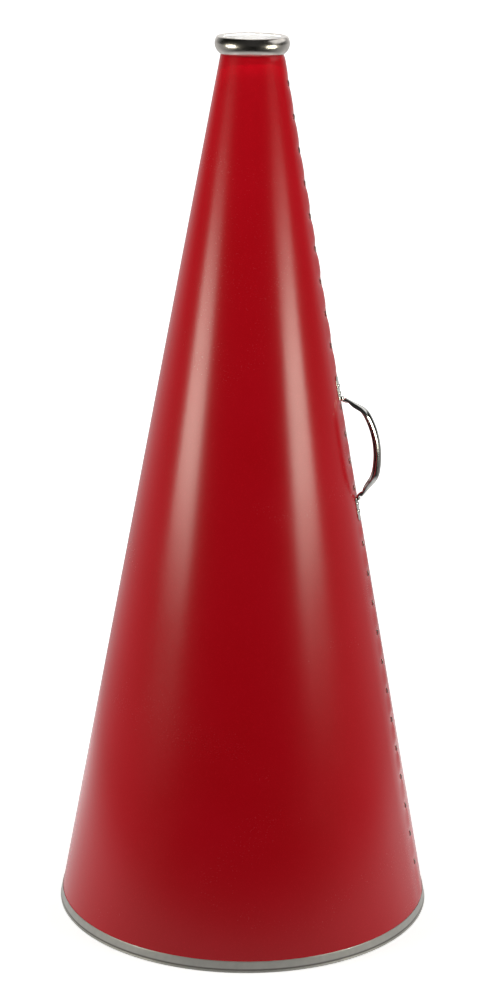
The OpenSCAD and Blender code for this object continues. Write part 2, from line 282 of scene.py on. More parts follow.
def bumped(tree, bsdf, height, depth_mm, strength=1.0):
    """Raises the shaded surface by a height value, up to a depth."""
    node = tree.nodes.new("ShaderNodeBump")
    node.inputs["Strength"].default_value = strength
    node.inputs["Distance"].default_value = depth_mm * MM
    tree.links.new(height, node.inputs["Height"])
    tree.links.new(node.outputs["Normal"], bsdf.inputs["Normal"])


def red_lacquer():
    """Satin red lacquer on fibre board: fine grain, and smudges that change its gloss."""
    material, tree, bsdf = shader("red_lacquer", (0.6, 0.0005, 0.007), 0.0, 0.24)
    link = tree.links.new
    tone = blend_colours(
        tree, ranged(tree, noise_of(tree, 14, 3), 0, 1), (0.575, 0.0, 0.006),
        (0.61, 0.0004, 0.009),
    )
    speckled = blend_colours(
        tree, ranged(tree, noise_of(tree, 900, 2), 0, 1, 0.55, 0.8), tone, (0.68, 0.004, 0.014)
    )
    link(speckled, bsdf.inputs["Base Color"])
    smudges = ranged(tree, noise_of(tree, 9, 4, distortion=1.0), 0.215, 0.255)
    grain = ranged(tree, noise_of(tree, 700, 2), -0.03, 0.03)
    link(added(tree, smudges, grain), bsdf.inputs["Roughness"])
    bumped(tree, bsdf, noise_of(tree, 800, 3), 0.02, 0.4)
    return material


def bare_fibre():
    """The cone's unlacquered inside: the same dyed board, matte and mottled."""
    material, tree, bsdf = shader("bare_fibre", (0.3, 0.01, 0.015), 0.0, 0.7)
    link = tree.links.new
    tone = blend_colours(
        tree, ranged(tree, noise_of(tree, 60, 6), 0, 1), (0.24, 0.008, 0.012),
        (0.36, 0.016, 0.02),
    )
    link(tone, bsdf.inputs["Base Color"])
    link(ranged(tree, noise_of(tree, 200, 3), 0.62, 0.8), bsdf.inputs["Roughness"])
    bumped(tree, bsdf, noise_of(tree, 500, 5), 0.12, 0.6)
    return material


def bright_metal(name, base, roughness, smudge, scratch_mm=0.01):
    """Polished plated metal with handling marks that dull it here and there."""
    material, tree, bsdf = shader(name, base, 1.0, roughness)
    link = tree.links.new
    darker = tuple(0.86 * c for c in base)
    tone = blend_colours(
        tree, ranged(tree, noise_of(tree, 160, 4), 0, 1, 0.45, 0.75), base, darker
    )
    link(tone, bsdf.inputs["Base Color"])
    cloud = noise_of(tree, 90, 5, distortion=0.6)
    link(ranged(tree, cloud, roughness, roughness + smudge), bsdf.inputs["Roughness"])
    bumped(tree, bsdf, noise_of(tree, 1400, 3, stretch=(1, 1, 4)), scratch_mm, 0.4)
    return material


def satin_steel(name, base, roughness, stretch, metallic=1.0):
    """Dull steel with drawn lines along one way and a cloudy tarnish: the material, its
    node tree and its shader."""
    material, tree, bsdf = shader(name, base, metallic, roughness)
    link = tree.links.new
    tarnish = blend_colours(
        tree, ranged(tree, noise_of(tree, 150, 4), 0, 1), base,
        tuple(0.88 * c for c in base),
    )
    link(tarnish, bsdf.inputs["Base Color"])
    lines = noise_of(tree, 60, 4, stretch=stretch)
    link(ranged(tree, lines, roughness - 0.08, roughness + 0.1), bsdf.inputs["Roughness"])
    bumped(tree, bsdf, lines, 0.05, 0.35)
    return material, tree, bsdf


def white_enamel():
    """The mouthpiece's white lining, a little worn and yellowed."""
    material, tree, bsdf = shader("white_enamel", (0.9, 0.9, 0.88), 0.0, 0.35)
    link = tree.links.new
    tone = blend_colours(
        tree, ranged(tree, noise_of(tree, 120, 4), 0, 1), (0.92, 0.92, 0.91),
        (0.85, 0.84, 0.8),
    )
    link(tone, bsdf.inputs["Base Color"])
    link(ranged(tree, noise_of(tree, 400, 2), 0.3, 0.42), bsdf.inputs["Roughness"])
    return material


# ---- The cone ----

STITCHES = sorted(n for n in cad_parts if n.startswith("seam_stitch_"))
RIVETS = sorted(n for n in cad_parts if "_rivet_" in n)
HANDLE_AT = sum(along_slope(n) for n in RIVETS) / len(RIVETS)
STITCH_ZS = [along_slope(n) * cos(LEAN) for n in STITCHES]
CLIP_ZS = [
    tuple(sorted((HANDLE_AT + side * at) * cos(LEAN) for at in (KNUCKLE_AT, LEAF_END)))
    for side in (1, -1)
]

PUCKER = 0.55            # how far a stitch pulls the sheet in
SCALLOP = 0.75           # how far the lap's edge stands off between two stitches
shapes = random.Random(11)
PUCKERS = [PUCKER * shapes.uniform(0.8, 1.2) for z in STITCH_ZS]
SCALLOPS = [SCALLOP * shapes.uniform(0.75, 1.15) for z in STITCH_ZS] + [SCALLOP]


def held(z):
    """How close to a stitch or a clip a height is: 1 there, 0 halfway between."""
    stitch_half, free_at = 1.5, 8
    gaps = [abs(z - s) - stitch_half for s in STITCH_ZS]
    gaps += [max(low - z, z - high) for low, high in CLIP_ZS]
    return 1 - ease(min(gaps) / free_at)


def scallop(z):
    """How far the lap's free edge lifts at a height."""
    end_run, stiff_run, stiff_share = 6, 180, 0.3
    above = sum(1 for s in STITCH_ZS if s < z)
    ends = ease((z - RIM_H) / end_run) * ease((NECK_Z - z) / end_run)
    # the sheet is stiffer where it is rolled tighter
    slack = stiff_share + (1 - stiff_share) * ease((NECK_Z - z) / stiff_run)
    return SCALLOPS[above] * (1 - held(z)) * ends * slack


def pucker(side, z):
    """How far the stitches pull the sheet in at a place: a dimple in a wider hollow."""
    dimple_up, dimple_round = 2.6, 2.0
    hollow_up, hollow_round, hollow_share = 6.5, 7.0, 0.5
    reach = 16
    return sum(
        depth * (exp(-((z - s) / dimple_up) ** 2 - (side / dimple_round) ** 2)
                 + hollow_share * exp(-((z - s) / hollow_up) ** 2 - (side / hollow_round) ** 2))
        for depth, s in zip(PUCKERS, STITCH_ZS)
        if abs(z - s) < reach
    )


def lap_shown(z):
    """1 where the lap is free, and 0 where the rim or the ring holds the sheet flat."""
    start, run = 0.1, 1.2
    return ease((z - RIM_H - start) / run) * ease((NECK_Z + start - z) / run)


def outer_layer(side, z, lift, dent):
    """Height of the lap's outer layer off the cone's own surface."""
    base = LAP_RISE * ease((side + LAP_LEAD) / LAP_LEAD_RUN)
    lift_run = 10
    edge = ease((side + lift_run) / (lift_run + LAP_EDGE))
    return lap_shown(z) * (base + lift * edge - dent)


def inner_layer(side, z, lift, dent):
    """Height of the lap's inner layer off the cone's own surface."""
    base = -LAP_RISE * (1 - ease((side - LAP_EDGE) / LAP_TAIL_RUN))
    spring_share, spring_run, dent_share = 0.3, 14, 0.7
    spring = spring_share * lift * (1 - ease((side - LAP_EDGE) / spring_run))
    return lap_shown(z) * (base + spring - dent_share * dent)


def cone_heights():
    """Heights of the rings of points up the outside, close together at the stitches."""
    end_step, stitch_step, plain_step = 0.6, 1.1, 2.4
    heights, z = [], CONE_LOW_Z
    while z < CONE_HIGH_Z - 0.5:
        heights.append(z)
        near = min(abs(z - s) for s in STITCH_ZS)
        at_end = z < RIM_H + 1.5 or z > NECK_Z - 2
        z += end_step if at_end else stitch_step if near < 5.5 else plain_step
    return heights + [CONE_HIGH_Z]


def seam_sides():
    """Distances round from the seam of the columns of points near it. True marks a point
    on the far side of a layer's cut edge."""
    cut = LAP_EDGE
    outer = [(s, False) for s in spread(-6, cut - 0.5, 12)]
    outer += [(cut - 0.25, False), (cut - 0.08, False), (cut, False), (cut, True)]
    sides = [(s, False) for s in spread(-SEAM_HALF, -LAP_BACK - 0.5, 2)]
    sides += [(-LAP_BACK, True), (-LAP_BACK, False)]
    sides += [(s, False) for s in spread(-18.5, -7.5, 6)] + outer
    sides += [(s, True) for s in (4.2, 5.2, 6.5, 8, 10, 12.5, 15, 18, 21, SEAM_HALF)]
    return sides


def cone_columns(z, lift_of):
    """One ring of points round the cone. lift_of gives the lift at a place round it."""
    near = seam_sides()
    first, last = near[0][0], near[-1][0]
    far_n = 112
    r = cone_r(z)
    around = 2 * pi * r - (last - first)
    places = near + [(last + around * i / far_n, True) for i in range(1, far_n)]
    ring = []
    for side, past in places:
        wrapped = side if side < pi * r else side - 2 * pi * r
        radius = r + lift_of(wrapped, past) / cos(LEAN)
        ring.append((radius * cos(side / r), radius * sin(side / r), z))
    return ring


def outside_ring(z):
    """The ring of points on the cone's outside at a height."""
    lift = scallop(z)

    def lift_of(side, past):
        dent = pucker(side, z) if abs(side) < SEAM_HALF else 0.0
        if side < LAP_EDGE or (side == LAP_EDGE and not past):
            height = outer_layer(side, z, lift, dent)
            # the cut edge is rounded over
            over = max(0.0, side - (LAP_EDGE - 0.5))
            return height - 0.9 * lap_shown(z) * over * over
        return inner_layer(side, z, lift, dent)

    return cone_columns(z, lift_of)


def inside_ring(z):
    """The ring of points on the cone's inside at a height."""
    lap = ease((RING_BOX[0].z - 0.3 - z) / 1.2) * lap_shown(z)

    def lift_of(side, past):
        if side > -LAP_BACK or (side == -LAP_BACK and not past):
            tail = 1 - ease((side - LAP_EDGE) / LAP_TAIL_RUN)
            return -SHEET_T + lap * -LAP_RISE * tail
        return -SHEET_T + lap * LAP_RISE * ease((side + LAP_LEAD) / LAP_LEAD_RUN)

    return cone_columns(z, lift_of)


def make_cone():
    """The rolled sheet, lapped and puckered along its seam."""
    out_zs = cone_heights()
    ring_end = RING_BOX[0].z
    in_zs = spread(CONE_HIGH_Z, ring_end, 4) + spread(ring_end - 0.3, ring_end - 1.8, 4)
    in_zs += spread(ring_end - 14, RIM_H + 2, 44) + spread(RIM_H + 1, CONE_LOW_Z, 5)
    rings = [outside_ring(z) for z in out_zs] + [inside_ring(z) for z in in_zs]
    n = len(rings[0])
    faces = grid_faces(len(rings), n, closed_rings=True)
    inside = [0 if i // n < len(out_zs) - 1 else 1 for i in range(len(faces))]
    piece = add_mesh(
        "cone_sheet", [p for ring in rings for p in ring], faces,
        [red_lacquer(), bare_fibre()], inside, sharp=50,
    )
    return place(piece, "horn", "red_sheet", "horn_cone")


# ---- The bell rim ----

RIM_STEPS = 288


def rim_outline():
    """The folded channel: outer wall, a crease, the hem at its foot, and the inner wall."""
    hem_r, fold_r, wall_t, web_t = 1.0, 0.3, 0.5, 1.0
    out, inner = FIT + wall_t, -SHEET_T - FIT - wall_t
    inner_h = 7.0
    edge = 0.2
    fold = (cone_r(fold_r, inner) + fold_r, fold_r)
    return (
        [(cone_r(web_t, FIT), web_t), (cone_r(RIM_H - edge, FIT), RIM_H - edge),
         (cone_r(RIM_H, FIT + edge / 2), RIM_H),
         (cone_r(RIM_H, out - edge / 2), RIM_H - edge / 4),
         (cone_r(RIM_H - edge, out), RIM_H - edge)]
        + [(cone_r(z, out), z) for z in spread(9.0, 4.2, 6)]
        + [(cone_r(3.6, out - 0.05), 3.6), (cone_r(3.1, out - 0.22), 3.1),
           (cone_r(2.7, out - 0.34), 2.7), (cone_r(2.35, out - 0.3), 2.35)]
        + arc((BELL_R - hem_r, hem_r), hem_r, 62, -90, 16)
        + arc(fold, fold_r, -90, -180, 6)
        + [(cone_r(inner_h, inner), inner_h),
           (cone_r(inner_h, -SHEET_T - FIT), inner_h),
           (cone_r(web_t, -SHEET_T - FIT), web_t)]
    )


def rim_metal():
    """The rim's drawn steel, with painted shade in the crease over its hem."""
    material, tree, bsdf = satin_steel(
        "rim_steel", (0.56, 0.545, 0.515), 0.4, (1, 1, 60), metallic=0.55
    )
    # heights in metres over which the painted crease shade comes in, and over which it fades
    # again
    comes_in, fades = (0.0019, 0.0026), (0.0029, 0.0042)
    # colour of the painted shade in the crease over the hem
    crease_shade_colour = (0.16, 0.145, 0.13)
    coords = tree.nodes.new("ShaderNodeTexCoord")
    apart = tree.nodes.new("ShaderNodeSeparateXYZ")
    tree.links.new(coords.outputs["Object"], apart.inputs[0])
    below = ranged(tree, apart.outputs["Z"], 0.0, 1.0, *comes_in)
    above = ranged(tree, apart.outputs["Z"], 1.0, 0.0, *fades)
    both = tree.nodes.new("ShaderNodeMath")
    both.operation = "MULTIPLY"
    tree.links.new(below, both.inputs[0])
    tree.links.new(above, both.inputs[1])
    unshaded_tone = bsdf.inputs["Base Color"].links[0].from_socket
    # the painted crease shade is blended into the steel's own tone here
    tinted = blend_colours(tree, both.outputs["Value"], unshaded_tone, crease_shade_colour)
    tree.links.new(tinted, bsdf.inputs["Base Color"])
    return material


def make_rim():
    """The channel folded round the bell's edge."""
    points, faces = lathe(rim_outline(), RIM_STEPS)
    piece = add_mesh("rim_channel", points, faces, [rim_metal()])
    return place(piece, "horn", "rim_steel", "bell_rim")


# ---- The mouthpiece ring ----

RING_STEPS = 192


def ring_outlines():
    """Outline of the rolled ring, split into its bright outside, its lined inside and its
    hollow. The top is dished, from its upper edge down to the mouth's own edge."""
    wide_z, bulge_r, edge_r, mouth_edge_r, wall_t = 763.0, 10.0, 1.9, 1.2, 0.8
    mouth_r, dish, lip_gap = 23.4, 12.0, 0.6
    skirt_low = RING_BOX[0].z
    bulge = (RING_R - bulge_r, wide_z)
    lip_angle = -asin((wide_z - NECK_Z - lip_gap) / bulge_r) * 180 / pi
    up = TOTAL_H - edge_r - wide_z
    across = sqrt((bulge_r - edge_r) ** 2 - up ** 2)
    edge = (bulge[0] + across, TOTAL_H - edge_r)
    edge_angle = atan2(up, across) * 180 / pi
    drop = (edge[0] - mouth_r - mouth_edge_r) * tan(radians(dish))
    drop -= (edge_r - mouth_edge_r) / cos(radians(dish))
    mouth = (mouth_r + mouth_edge_r, edge[1] - drop)
    top = 90 + dish
    skirt_out = -SHEET_T - FIT
    skirt_in = skirt_out - wall_t
    bright = (
        arc(bulge, bulge_r, lip_angle, edge_angle, 36)
        + arc(edge, edge_r, edge_angle, top, 14)[1:]
        + arc(mouth, mouth_edge_r, top, top + 12, 2)
    )
    lined = (
        arc(mouth, mouth_edge_r, top + 20, 180, 8)
        + [(mouth_r, z) for z in spread(mouth[1], cone_z(mouth_r, skirt_in), 6)][1:]
        + [(cone_r(skirt_low, skirt_in), skirt_low)]
    )
    hidden = (
        [(cone_r(skirt_low, skirt_out), skirt_low),
         (mouth_r + wall_t, cone_z(mouth_r + wall_t, skirt_out))]
        + arc(mouth, mouth_edge_r - wall_t, 180, top, 6)
        + arc(edge, edge_r - wall_t, top, edge_angle, 6)
        + arc(bulge, bulge_r - wall_t, edge_angle, lip_angle, 16)[1:]
    )
    return bright, lined, hidden


def make_ring():
    """The rolled mouthpiece ring, bright outside and enamelled inside."""
    bright, lined, hidden = ring_outlines()
    points, faces = lathe(bright + lined + hidden, RING_STEPS)
    kinds = [0] * (len(bright) - 1) + [1] * len(lined) + [0] * (len(hidden) + 1)
    chrome = bright_metal("ring_nickel", (0.84, 0.79, 0.73), 0.22, 0.05)
    piece = add_mesh(
        "mouthpiece", points, faces, [chrome, white_enamel()],
        [kinds[i // RING_STEPS] for i in range(len(faces))],
    )
    return place(piece, "horn", "bright_ring", "mouthpiece_ring")


# ---- The handle ----

STEM_R = 1.2
ROOT_R = 1.1
ROOT_AT = KNUCKLE_AT - 1.3
TUNNEL_END = KNUCKLE_AT + 1.8
GRIP_REACH, GRIP_BULGE_R, GRIP_SPAN = 26.7, 78.0, 19.0
CORNER_R, ARM_ANGLE = 20.0, 52.4
HEEL_H, HEEL_HALF_W, HEEL_DEPTH = 3.4, 1.6, 4.4
GRIP_HALF_W, GRIP_DEPTH = 6.0, 5.6
HOLLOW_RUN, FULL_RUN = 10.0, 26.0
STRAP_T = 1.0
HANDLE_ANGLE = radians(23)
HINGE_H = LAP_RISE + KNUCKLE_R + CLEARANCE


def oval(half_w, depth):
    """A solid section: half width, depth to its edges, inner half width and rise of its
    hollow, which here is its lower half."""
    return half_w, depth / 2, half_w, -depth / 2


def channel(run):
    """The section at a distance along the outside from the heel, where the arm is solid,
    to the grip, where it is a full channel."""
    grown, hollow = ease(run / FULL_RUN), ease(run / HOLLOW_RUN)
    half_w = HEEL_HALF_W + (GRIP_HALF_W - HEEL_HALF_W) * grown
    depth = HEEL_DEPTH + (GRIP_DEPTH - HEEL_DEPTH) * grown
    rise = -depth / 2 + (1.5 * depth - STRAP_T) * hollow
    return half_w, depth * (1 + hollow) / 2, half_w - STRAP_T * hollow, rise


def section_points(section):
    """The channel's outline as (across, out): its crown, a rounded lip, its hollow and the
    other lip."""
    half_w, depth, inner_w, rise = section
    lip = 0.3 * max(0.0, half_w - inner_w)
    skin_d = depth - lip
    outside = [
        (half_w * sin(radians(a)), -skin_d * (1 - cos(radians(a)))) for a in spread(-90, 90, 36)
    ]
    inside = [
        (inner_w * sin(radians(a)), -skin_d + (rise - lip) * cos(radians(a)))
        for a in spread(90, -90, 30)
    ]
    mid_w, half_t = (half_w + inner_w) / 2, (half_w - inner_w) / 2
    right = [
        (mid_w + half_t * cos(radians(a)), -skin_d - lip * sin(radians(a)))
        for a in spread(30, 150, 4)
    ]
    left = [(-x, y) for x, y in reversed(right)]
    return outside + right + inside + left


def half_stations():
    """Places from one end of the handle up to its middle: (point on the outside, turn of
    the section from the middle's, section), in the plane of the handle, with the hinge
    line as the first axis."""
    def turned(turn, r):
        return Vector((r * sin(radians(turn)), r * cos(radians(turn))))

    grip_centre = Vector((0, GRIP_REACH - GRIP_BULGE_R))
    corner_centre = grip_centre + turned(GRIP_SPAN, GRIP_BULGE_R - CORNER_R)
    arm_start = corner_centre + turned(ARM_ANGLE, CORNER_R)
    arm_l = (arm_start.y - HEEL_H) / sin(radians(ARM_ANGLE))
    corner_l = CORNER_R * radians(ARM_ANGLE - GRIP_SPAN)
    down = Vector((cos(radians(ARM_ANGLE)), -sin(radians(ARM_ANGLE))))
    heel = arm_start + down * arm_l
    root = Vector((ROOT_AT, ROOT_R))
    places = [(Vector((KNUCKLE_AT + 1.2, ROOT_R)), 0.0, oval(ROOT_R, 2 * ROOT_R))]
    for t in spread(1, 0, 12)[:-1]:
        half_w = HEEL_HALF_W + t * (ROOT_R - HEEL_HALF_W)
        depth = HEEL_DEPTH + t * (2 * ROOT_R - HEEL_DEPTH)
        places.append((heel + t * (root - heel), ARM_ANGLE * (1 - t), oval(half_w, depth)))
    for run in spread(0, arm_l, 24)[:-1]:
        places.append((heel - down * run, ARM_ANGLE, channel(run)))
    for turn in spread(ARM_ANGLE, GRIP_SPAN, 24)[:-1]:
        run = arm_l + CORNER_R * radians(ARM_ANGLE - turn)
        places.append((corner_centre + turned(turn, CORNER_R), turn, channel(run)))
    for turn in spread(GRIP_SPAN, 0, 24):
        run = arm_l + corner_l + GRIP_BULGE_R * radians(GRIP_SPAN - turn)
        places.append((grip_centre + turned(turn, GRIP_BULGE_R), turn, channel(run)))
    return places


def handle_point(along, across, out):
    """A point of the handle's own plane, turned to the handle's resting angle."""
    base = on_slope(HANDLE_AT + along)
    normal = Vector((cos(LEAN), 0, sin(LEAN)))
    side = Vector((0, 1, 0))
    h = HINGE_H + out * cos(HANDLE_ANGLE) - across * sin(HANDLE_ANGLE)
    s = out * sin(HANDLE_ANGLE) + across * cos(HANDLE_ANGLE)
    return base + normal * h + side * s


def make_handle():
    """The stamped handle: its channel from root to root, and a round stem at each end."""
    half = half_stations()
    whole = half + [(Vector((-p.x, p.y)), -turn, section)
                    for p, turn, section in reversed(half[:-1])]
    rings = []
    for crown, turn, section in whole:
        out = (sin(radians(turn)), cos(radians(turn)))
        rings.append([
            handle_point(crown.x + d * out[0], w, crown.y + d * out[1])
            for w, d in section_points(section)
        ])
    points, faces = sweep(rings)
    for side in (1, -1):
        stem = [handle_point(side * s, 0, 0) for s in spread(KNUCKLE_AT + 0.1, TUNNEL_END, 4)]
        more, stem_faces = tube(stem, STEM_R, 32)
        faces += [tuple(i + len(points) for i in f) for f in stem_faces]
        points += more
    chrome = bright_metal("handle_chrome", (0.8, 0.79, 0.76), 0.13, 0.06)
    piece = add_mesh("carrying_handle", points, faces, [chrome], sharp=40)
    return place(piece, "handle", "bright_handle", "handle")


# ---- The clips ----

CLIP_T = 0.7
LEAF_HALF = 4.5
FILLET_R = 0.7
CLIP_EDGE = 0.3          # how far the rounded edge stands past the clip's flat


def tunnel_outline(grow, half_w):
    """Outline across a clip as (side, height), with its tunnel grown by a share."""
    low = LAP_RISE
    foot = KNUCKLE_R + FILLET_R
    rise = HINGE_H - low - CLIP_T / 2
    reach = [(s, 0.0) for s in spread(-half_w + CLIP_EDGE, -foot, 4)]
    fillet = [
        (-foot + FILLET_R * sin(radians(a)), FILLET_R * (1 - cos(radians(a))))
        for a in spread(15, 75, 4)
    ]
    dome = [
        (-KNUCKLE_R * cos(radians(a)), rise + (KNUCKLE_R - CLIP_T / 2) * sin(radians(a)))
        for a in spread(0, 90, 9)
    ]
    left = reach + fillet + dome
    whole = left + [(-x, y) for x, y in reversed(left[:-1])]
    middle = low + CLIP_T / 2
    return [(x, middle + grow * y) for x, y in whole]


def clip_ring(along, side, grow, half_w):
    """A closed loop round a clip at a distance from the handle's middle."""
    line = tunnel_outline(grow, half_w)
    t = CLIP_T / 2
    edge_x, edge_y = 0.2, 0.25
    top, under = [], []
    for i, (x, y) in enumerate(line):
        before, after = line[max(i - 1, 0)], line[min(i + 1, len(line) - 1)]
        dx, dy = after[0] - before[0], after[1] - before[1]
        size = hypot(dx, dy)
        top.append((x - dy / size * t, y + dx / size * t))
        under.append((x + dy / size * t, y - dx / size * t))
    (x0, y0), (x1, y1) = line[0], line[-1]
    right = [(x1 + edge_x, y1 + edge_y), (x1 + CLIP_EDGE, y1), (x1 + edge_x, y1 - edge_y)]
    left = [(x0 - edge_x, y0 - edge_y), (x0 - CLIP_EDGE, y0), (x0 - edge_x, y0 + edge_y)]
    loop = top + right + list(reversed(under)) + left
    return [on_slope(HANDLE_AT + side * along, h, x) for x, h in loop]


def make_clip(end, side, metal):
    """A stamped clip: a tunnel over the stem, running out into a flat leaf with a round
    end."""
    flat_at = KNUCKLE_AT + 3.1
    tip = LEAF_END - LEAF_HALF
    rows = [(s, 1.0, LEAF_HALF) for s in spread(KNUCKLE_AT, TUNNEL_END, 4)]
    rows += [
        (s, 1 - ease((s - TUNNEL_END) / (flat_at - TUNNEL_END)), LEAF_HALF)
        for s in spread(TUNNEL_END, flat_at, 8)[1:]
    ]
    rows += [(s, 0.0, LEAF_HALF) for s in spread(flat_at, tip, 6)[1:]]
    round_r = LEAF_HALF - CLIP_EDGE
    rows += [
        (tip + (round_r + CLIP_EDGE) * sin(radians(a)), 0.0,
         CLIP_EDGE + round_r * cos(radians(a)))
        for a in spread(0, 88, 16)[1:]
    ]
    rings = [clip_ring(s, side, grow, half_w) for s, grow, half_w in rows]
    points, faces = sweep(rings)
    piece = add_mesh(f"{end}_clip_stamping", points, faces, [metal], sharp=50)
    return place(piece, "horn", "bright_clip", f"{end}_clip")


# ---- The rivets, the washers and the stitches ----


def make_rivet(node, metal):
    """A domed rivet with a shank through the sheet and a flattened tail inside."""
    head_r, head_h, base = 2.3, 1.3, LAP_RISE + CLIP_T + CLEARANCE
    tail_r, tail_t = 1.9, 0.6
    washer_gap, washer_t = 0.12, 0.8
    dome_r = (head_r ** 2 + head_h ** 2) / (2 * head_h)
    centre = (0.0, base + head_h - dome_r)
    low = asin((dome_r - head_h) / dome_r) * 180 / pi
    tail_top = -SHEET_T - LAP_RISE - washer_gap - washer_t
    dome = arc(centre, dome_r, 89, low, 12)
    outline = dome + [
        (head_r - 0.1, base - 0.01), (STEM_R, base - 0.01), (STEM_R, tail_top),
        (1.75, tail_top), (tail_r, tail_top - 0.15), (tail_r, tail_top - 0.45),
        (1.7, tail_top - tail_t), (0.1, tail_top - tail_t),
    ]
    steps = 36
    at = along_slope(node)
    rings = [
        [on_slope(at + r * cos(2 * pi * k / steps), h, r * sin(2 * pi * k / steps))
         for k in range(steps)]
        for r, h in outline
    ]
    points, faces = sweep(rings)
    piece = add_mesh(f"{node}_dome", points, faces, [metal], sharp=45)
    return place(piece, "horn", "rivet_head", node)


def make_stitch(node, depth, metal):
    """A wire staple: its crown drawn into the sheet, two legs and turned-in tails."""
    wire_r, half, bend, tail_l, bow = 0.55, 1.95, 0.6, 0.6, 0.12
    at = along_slope(node)
    crown = LAP_RISE - 0.9 * depth + wire_r
    tail = -SHEET_T - LAP_RISE - wire_r - CLEARANCE
    path = []
    for side in (-1, 1):
        leg = [(side * (half - bend - tail_l), tail), (side * (half - bend), tail)]
        leg += [(side * (half - bend + bend * sin(t)), tail + bend * (1 - cos(t)))
                for t in spread(0, pi / 2, 5)[1:]]
        leg += [(side * (half - bend + bend * cos(t)), crown - bend + bend * sin(t))
                for t in spread(0, pi / 2, 5)]
        path += leg if side < 0 else list(reversed(leg))
        if side < 0:
            path += [(x, crown + bow * cos(pi * x / 2 / (half - bend)))
                     for x in spread(-half + bend, half - bend, 6)[1:-1]]
    points, faces = tube([on_slope(at + s, h) for s, h in path], wire_r)
    piece = add_mesh(f"{node}_wire", points, faces, [metal], sharp=60)
    return place(piece, "horn", "stitch_wire", node)


def finish_washers():
    """The CAD washers stay, in zinc-plated steel."""
    zinc = satin_steel("washer_zinc", (0.6, 0.59, 0.57), 0.36, (1, 1, 1))[0]
    for name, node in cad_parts.items():
        if "_washer_" in name:
            for s in node.material_slots:
                s.material = zinc


# ---- Studio ----

CAMERA_AZIMUTH = radians(12)     # round from straight in front, towards the seam
CAMERA_DISTANCE = 2.11987        # from the axis
CAMERA_HEIGHT = 0.98436
CAMERA_PITCH = 0.2821            # downwards
CAMERA_YAW = 0.0012
CAMERA_ROLL = 0.0117
CAMERA_LENS = 91.41
CAMERA_SENSOR = 36
TOWARDS_CAMERA = Vector((sin(CAMERA_AZIMUTH), -cos(CAMERA_AZIMUTH), 0))


def make_camera():
    """A camera above the mouthpiece's height, which looks down a little."""
    data = bpy.data.cameras.new("camera")
    data.lens, data.sensor_width, data.sensor_fit = CAMERA_LENS, CAMERA_SENSOR, "AUTO"
    data.clip_end = 100
    turn = Matrix.Rotation(CAMERA_AZIMUTH, 3, "Z")
    ahead = turn @ Vector((
        sin(CAMERA_YAW) * cos(CAMERA_PITCH), cos(CAMERA_YAW) * cos(CAMERA_PITCH),
        -sin(CAMERA_PITCH),
    ))
    level = turn @ Vector((cos(CAMERA_YAW), -sin(CAMERA_YAW), 0))
    above = level.cross(ahead)
    right = level * cos(CAMERA_ROLL) + above * sin(CAMERA_ROLL)
    up = above * cos(CAMERA_ROLL) - level * sin(CAMERA_ROLL)
    place_at = TOWARDS_CAMERA * CAMERA_DISTANCE + Vector((0, 0, CAMERA_HEIGHT))
    camera = bpy.data.objects.new("camera", data)
    camera.matrix_world = Matrix((
        (right.x, up.x, -ahead.x, place_at.x),
        (right.y, up.y, -ahead.y, place_at.y),
        (right.z, up.z, -ahead.z, place_at.z),
        (0, 0, 0, 1),
    ))
    bpy.context.scene.collection.objects.link(camera)
    bpy.context.scene.camera = camera


def make_softbox(name, azimuth, distance, height, size, radiance, colour, aim_z,
                 shows=True, lights=True):
    """A rectangular light round the object from the camera's side, facing its axis. A
    fill light doesn't show in reflections, and a card only shows there."""
    turned = Matrix.Rotation(azimuth, 3, "Z") @ TOWARDS_CAMERA
    at = turned * distance + Vector((0, 0, height))
    data = bpy.data.lights.new(name, "AREA")
    data.shape, data.size, data.size_y = "RECTANGLE", size[0], size[1]
    data.energy = radiance * pi * size[0] * size[1]
    data.color = colour
    light = bpy.data.objects.new(name, data)
    light.location = at
    light.rotation_euler = (Vector((0, 0, aim_z)) - at).to_track_quat("-Z", "Y").to_euler()
    light.visible_glossy = shows
    light.visible_diffuse = lights
    bpy.context.scene.collection.objects.link(light)


def facing_value(tree, vector, stops):
    """A grey level by how far round from the camera's side a direction or a place lies.
    Each stop is (degrees round, level)."""
    dot = tree.nodes.new("ShaderNodeVectorMath")
    dot.operation = "DOT_PRODUCT"
    flat = tree.nodes.new("ShaderNodeVectorMath")
    flat.operation = "MULTIPLY"
    flat.inputs[1].default_value = (1, 1, 0)
    unit = tree.nodes.new("ShaderNodeVectorMath")
    unit.operation = "NORMALIZE"
    tree.links.new(vector, flat.inputs[0])
    tree.links.new(flat.outputs["Vector"], unit.inputs[0])
    tree.links.new(unit.outputs["Vector"], dot.inputs[0])
    dot.inputs[1].default_value = TOWARDS_CAMERA
    angle = tree.nodes.new("ShaderNodeMath")
    angle.operation = "ARCCOSINE"
    tree.links.new(dot.outputs["Value"], angle.inputs[0])
    ramp = tree.nodes.new("ShaderNodeValToRGB")
    tree.links.new(ranged(tree, angle.outputs["Value"], 0, 1, 0, pi), ramp.inputs["Fac"])
    marks = ramp.color_ramp.elements
    while len(marks) < len(stops):
        marks.new(0.5)
    for mark, (degrees_round, level) in zip(marks, stops):
        mark.position = degrees_round / 180
        mark.color = (level, level, level, 1)
    return ramp.outputs["Color"]


# How bright the surroundings are, round from the camera's dark side to the white wall
# behind: the room as it is mirrored, the floor as it is mirrored, and both as they light
# the object. Each pair is (degrees round, level).
MIRRORED = ((0, 0.03), (80, 0.0), (114, 0.01), (140, 0.33), (158, 0.85), (180, 0.9))
FLOOR_MIRRORED = ((0, 0.0), (60, 0.02), (85, 0.14), (110, 0.28), (145, 0.6), (180, 0.7))
LIGHTING = ((0, 0.08), (40, 0.15), (75, 0.43), (110, 0.53), (140, 0.53), (180, 0.5))


